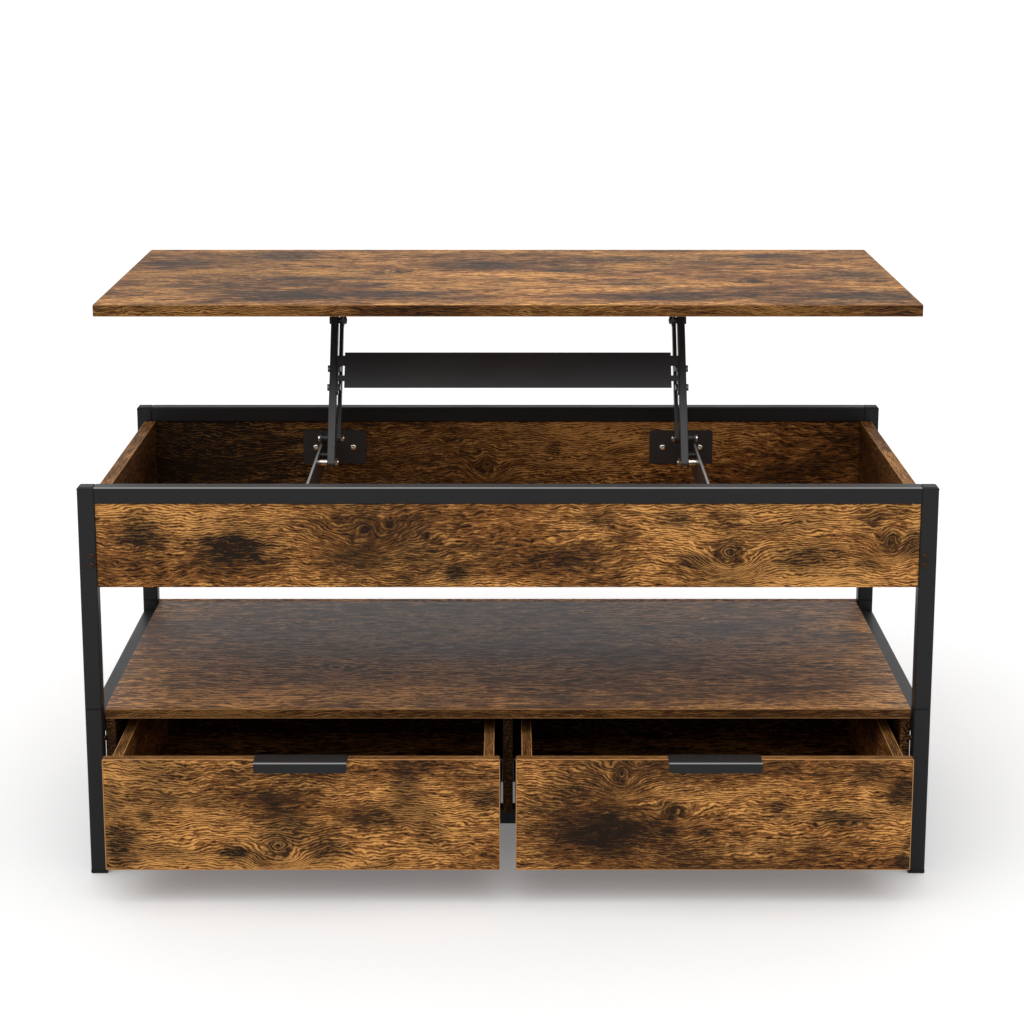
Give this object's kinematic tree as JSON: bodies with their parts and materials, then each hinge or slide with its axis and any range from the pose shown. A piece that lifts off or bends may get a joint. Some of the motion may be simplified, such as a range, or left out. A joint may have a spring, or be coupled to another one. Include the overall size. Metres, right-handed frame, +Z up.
{
  "type": "lift-top coffee table",
  "caption": "Lift-top coffee table: square-tube frame, raising top on parallel arms over a storage compartment, open shelf and drawers on runners.",
  "frame": {"origin": "on the floor under the middle of the table as it stands, with the top raised and the drawers drawn out", "axes": "+X to the right along the long side, +Y to the back, +Z up; the drawers open towards -Y"},
  "size_m": [1.05, 0.89, 0.6432],
  "materials": {
    "wood_laminate": "rustic brown wood-grain laminate, satin",
    "drawer_bottom_board": "thin fibreboard, dark brown",
    "black_steel": "matt black powder coat",
    "black_plastic": "moulded black plastic",
    "zinc_fasteners": "zinc plated",
    "bronze_bolts": "antique bronze plated",
    "slide_steel": "rolled steel, grey zinc"
  },
  "bodies": {
    "frame": {"back_panel": "wood_laminate", "base_pivots": "zinc_fasteners", "bottom_side_rail_left": "black_steel", "bottom_side_rail_right": "black_steel", "compartment_floor": "wood_laminate", "compartment_side_left": "wood_laminate", "compartment_side_right": "wood_laminate", "drawer_divider": "wood_laminate", "frame_bolts": "bronze_bolts", "front_apron": "wood_laminate", "front_bottom_rail": "black_steel", "front_top_rail": "black_steel", "lift_base_left": "black_steel", "lift_base_right": "black_steel", "lift_base_screws": "zinc_fasteners", "lower_back_panel": "wood_laminate", "lower_post_front_left": "black_steel", "lower_post_front_right": "black_steel", "lower_post_rear_left": "black_steel", "lower_post_rear_right": "black_steel", "lower_side_left": "wood_laminate", "lower_side_right": "wood_laminate", "post_caps": "black_plastic", "post_feet": "black_plastic", "post_spigots": "black_plastic", "rear_bottom_rail": "black_steel", "rear_top_rail": "black_steel", "shelf": "wood_laminate", "shelf_rail_left": "black_steel", "shelf_rail_right": "black_steel", "slide_channels": "slide_steel", "upper_post_front_left": "black_steel", "upper_post_front_right": "black_steel", "upper_post_rear_left": "black_steel", "upper_post_rear_right": "black_steel"},
    "lift_arms": {"cross_plate": "black_steel", "cross_plate_bolts": "black_steel", "lift_arm_left": "black_steel", "lift_arm_right": "black_steel"},
    "top": {"tabletop": "wood_laminate", "top_bracket_left": "black_steel", "top_bracket_right": "black_steel", "top_bracket_screws": "zinc_fasteners", "top_pivots": "black_steel"},
    "follower_left": {"follower_arm_left": "black_steel"},
    "follower_right": {"follower_arm_right": "black_steel"},
    "drawer_left": {"drawer_left_back": "wood_laminate", "drawer_left_bottom": "drawer_bottom_board", "drawer_left_front": "wood_laminate", "drawer_left_inner_side": "wood_laminate", "drawer_left_outer_side": "wood_laminate", "drawer_left_pull": "black_steel", "drawer_left_runners": "slide_steel"},
    "drawer_right": {"drawer_right_back": "wood_laminate", "drawer_right_bottom": "drawer_bottom_board", "drawer_right_front": "wood_laminate", "drawer_right_inner_side": "wood_laminate", "drawer_right_outer_side": "wood_laminate", "drawer_right_pull": "black_steel", "drawer_right_runners": "slide_steel"}
  },
  "joints": [
    {"name": "lift", "type": "hinge", "parent": "frame", "child": "lift_arms", "pos_m": [0, -0.00503, 0.427], "axis": [1, 0, 0], "range_deg": [0, 116.5]},
    {"name": "top_level", "type": "hinge", "parent": "lift_arms", "child": "top", "pos_m": [0, 0.10095, 0.59661], "axis": [1, 0, 0], "range_deg": [-116.5, 0]},
    {"name": "follower_left_swing", "type": "hinge", "parent": "frame", "child": "follower_left", "pos_m": [0, 0.04997, 0.447], "axis": [1, 0, 0], "range_deg": [0, 116.5]},
    {"name": "follower_right_swing", "type": "hinge", "parent": "frame", "child": "follower_right", "pos_m": [0, 0.04997, 0.447], "axis": [1, 0, 0], "range_deg": [0, 116.5]},
    {"name": "drawer_left_slide", "type": "slide", "parent": "frame", "child": "drawer_left", "axis": [0, -1, 0], "range_m": [-0.131, 0.119]},
    {"name": "drawer_right_slide", "type": "slide", "parent": "frame", "child": "drawer_right", "axis": [0, -1, 0], "range_m": [-0.131, 0.119]}
  ],
  "couplings": [
    {"joint": "top_level", "follows": "lift", "ratio": -1},
    {"joint": "follower_left_swing", "follows": "lift", "ratio": 1},
    {"joint": "follower_right_swing", "follows": "lift", "ratio": 1}
  ]
}
